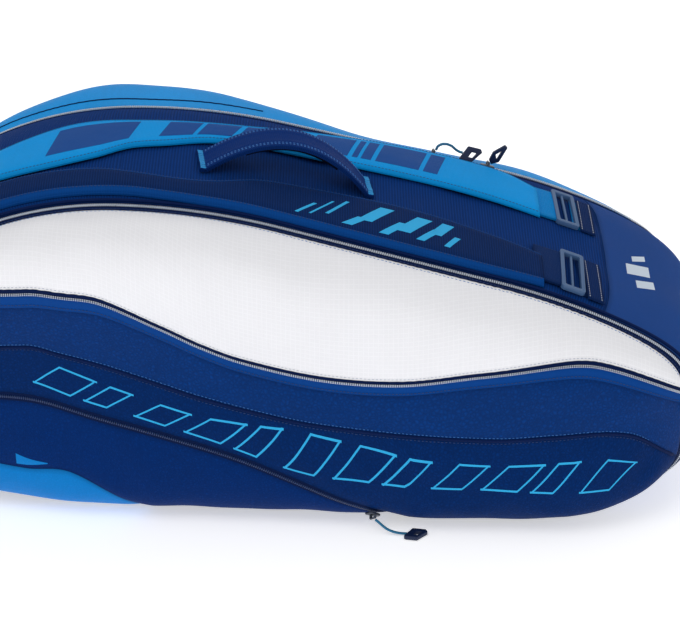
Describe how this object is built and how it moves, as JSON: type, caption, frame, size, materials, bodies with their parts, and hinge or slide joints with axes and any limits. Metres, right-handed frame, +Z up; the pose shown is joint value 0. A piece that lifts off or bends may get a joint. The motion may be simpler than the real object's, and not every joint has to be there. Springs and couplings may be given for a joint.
{
  "type": "racket tournament bag",
  "caption": "Long soft racket bag with front and rear zipped compartments, a curved front pocket, padded shoulder straps, a carry handle and corded zip pulls.",
  "frame": {"origin": "middle of the bag's outline, on the surface that it stands on, measured without the pull cords", "axes": "+X along the bag towards the handle end, -Y out of the front compartment, +Z up"},
  "size_m": [0.75, 0.3225, 0.3297],
  "materials": {
    "spine_fabric": "matte",
    "end_fabric": "matte",
    "base_fabric": "matte",
    "divider_fabric": "matte",
    "welt": "matte",
    "zip_silver": "matte",
    "zip_dark": "matte",
    "strap_fabric": "matte",
    "cyan_strap": "matte",
    "strap_backing": "matte",
    "navy_webbing": "matte",
    "cyan_webbing": "matte",
    "anchor_fabric": "matte",
    "handle_webbing": "matte",
    "cyan_thread": "matte",
    "handle_padding": "matte",
    "buckle": "matte",
    "white_fabric": "matte",
    "foil_lining": "matte",
    "lining_fabric": "matte",
    "royal_fabric": "matte",
    "pocket_fabric": "matte",
    "corner_fabric": "matte",
    "cyan_fabric": "matte",
    "slider_metal": "matte",
    "pull_rubber": "matte",
    "pull_cord": "matte"
  },
  "bodies": {
    "core": {"spine_panel": "spine_fabric", "head_end_panel": "spine_fabric", "handle_end_panel": "end_fabric", "base_panel": "base_fabric", "centre_divider": "divider_fabric", "front_welt": "welt", "rear_welt": "welt", "front_zip_core": "zip_silver", "rear_zip_core": "zip_silver", "near_strap_pad": "strap_fabric", "far_strap_pad": "cyan_strap", "far_strap_backing": "strap_backing", "near_strap_webbing": "navy_webbing", "far_strap_webbing": "cyan_webbing", "near_anchor_webbing": "navy_webbing", "far_anchor_webbing": "cyan_webbing", "near_anchor_patch": "anchor_fabric", "far_anchor_patch": "anchor_fabric", "strap_yoke": "anchor_fabric", "handle_tabs": "handle_webbing", "handle_bartacks": "cyan_thread"},
    "carry_handle": {"carry_handle": "handle_webbing", "handle_padding": "handle_padding"},
    "near_ladder_lock": {"near_ladder_lock": "buckle"},
    "far_ladder_lock": {"far_ladder_lock": "buckle"},
    "front_shell": {"thermal_panel": "white_fabric", "thermal_lining": "foil_lining", "pocket_back_wall": "lining_fabric", "front_zip_shell": "zip_silver", "wave_zip_upper": "zip_silver"},
    "pocket_cover": {"accessory_panel": "royal_fabric", "lower_pocket_panel": "pocket_fabric", "lower_corner_panel": "corner_fabric", "corner_accent": "cyan_fabric", "pocket_seam_welt": "welt", "diagonal_zip": "zip_dark", "wave_zip_lower": "zip_silver"},
    "rear_shell": {"rear_upper_panel": "cyan_fabric", "rear_lower_panel": "pocket_fabric", "rear_seam_welt": "welt", "rear_lining": "lining_fabric", "rear_zip_shell": "zip_silver"},
    "rear_left_slider": {"rear_left_slider": "slider_metal"},
    "rear_left_pull": {"rear_left_cord": "pull_cord", "rear_left_pull": "pull_rubber"},
    "rear_right_slider": {"rear_right_slider": "slider_metal"},
    "rear_right_pull": {"rear_right_pull": "pull_rubber"},
    "front_slider": {"front_slider": "slider_metal"},
    "front_pull": {"front_cord": "pull_cord", "front_pull": "pull_rubber"},
    "pocket_slider": {"pocket_slider": "slider_metal"},
    "pocket_pull": {"pocket_cord": "pull_cord", "pocket_pull": "pull_rubber"},
    "diagonal_slider": {"diagonal_slider": "slider_metal"},
    "diagonal_pull": {"diagonal_cord": "pull_cord", "diagonal_pull": "pull_rubber"}
  },
  "joints": [
    {"name": "front_shell_opening", "type": "hinge", "parent": "core", "child": "front_shell", "pos_m": [0, -0.1, 0.005], "axis": [0.9992, -0.04, 0], "range_deg": [0, 30]},
    {"name": "rear_shell_opening", "type": "hinge", "parent": "core", "child": "rear_shell", "pos_m": [0, 0.1, 0.005], "axis": [-0.9992, -0.04, 0], "range_deg": [0, 30]},
    {"name": "pocket_cover_opening", "type": "hinge", "parent": "front_shell", "child": "pocket_cover", "pos_m": [0, -0.1055, 0.0065], "axis": [0.9991, -0.0422, 0], "range_deg": [0, 14]},
    {"name": "carry_handle_swing", "type": "hinge", "parent": "core", "child": "carry_handle", "pos_m": [0.0025, -0.01502, 0.2911], "axis": [0.9657, 0.1158, -0.2325], "range_deg": [-30, 30]},
    {"name": "near_ladder_lock_tilt", "type": "hinge", "parent": "core", "child": "near_ladder_lock", "pos_m": [0.26139, -0.06635, 0.21935], "axis": [0.0383, 0.9986, 0.0373], "range_deg": [0, 40]},
    {"name": "far_ladder_lock_tilt", "type": "hinge", "parent": "core", "child": "far_ladder_lock", "pos_m": [0.26339, 0.05088, 0.21911], "axis": [-0.0238, 0.9996, -0.014], "range_deg": [0, 40]},
    {"name": "rear_left_slider_run", "type": "slide", "parent": "core", "child": "rear_left_slider", "axis": [0.9658, 0.0386, -0.2562], "range_m": [-0.11, 0]},
    {"name": "rear_left_pull_swing", "type": "hinge", "parent": "rear_left_slider", "child": "rear_left_pull", "pos_m": [0.13708, 0.10673, 0.25446], "axis": [0.108, -0.9588, 0.2626], "range_deg": [0, 120]},
    {"name": "rear_right_slider_run", "type": "slide", "parent": "core", "child": "rear_right_slider", "axis": [0.9649, 0.0386, -0.2596], "range_m": [0, 0.02]},
    {"name": "rear_right_pull_swing", "type": "hinge", "parent": "rear_right_slider", "child": "rear_right_pull", "pos_m": [0.18778, 0.10867, 0.24103], "axis": [0.1042, -0.9642, 0.2439], "range_deg": [-20, 60]},
    {"name": "front_slider_run", "type": "hinge", "parent": "core", "child": "front_slider", "pos_m": [-0.24662, -0.09014, 0.16518], "axis": [-0.04, -0.9992, 0], "range_deg": [-16.4, 16.4]},
    {"name": "front_pull_swing", "type": "hinge", "parent": "front_slider", "child": "front_pull", "pos_m": [-0.33846, -0.08967, 0.22268], "axis": [0, 1, 0], "range_deg": [0, 100]},
    {"name": "pocket_slider_run", "type": "slide", "parent": "pocket_cover", "child": "pocket_slider", "axis": [0.6653, -0.3004, 0.6835], "range_m": [-0.002, 0.008]},
    {"name": "pocket_pull_swing", "type": "hinge", "parent": "pocket_slider", "child": "pocket_pull", "pos_m": [-0.29317, -0.13338, 0.21477], "axis": [-0.9661, 0.2583, 0], "range_deg": [0, 90]},
    {"name": "diagonal_slider_run", "type": "slide", "parent": "pocket_cover", "child": "diagonal_slider", "axis": [-0.8264, -0.3418, 0.4475], "range_m": [0, 0.006]},
    {"name": "diagonal_pull_swing", "type": "hinge", "parent": "diagonal_slider", "child": "diagonal_pull", "pos_m": [0.07974, -0.1439, 0.01682], "axis": [0, 0, 1], "range_deg": [-75, 5]}
  ]
}
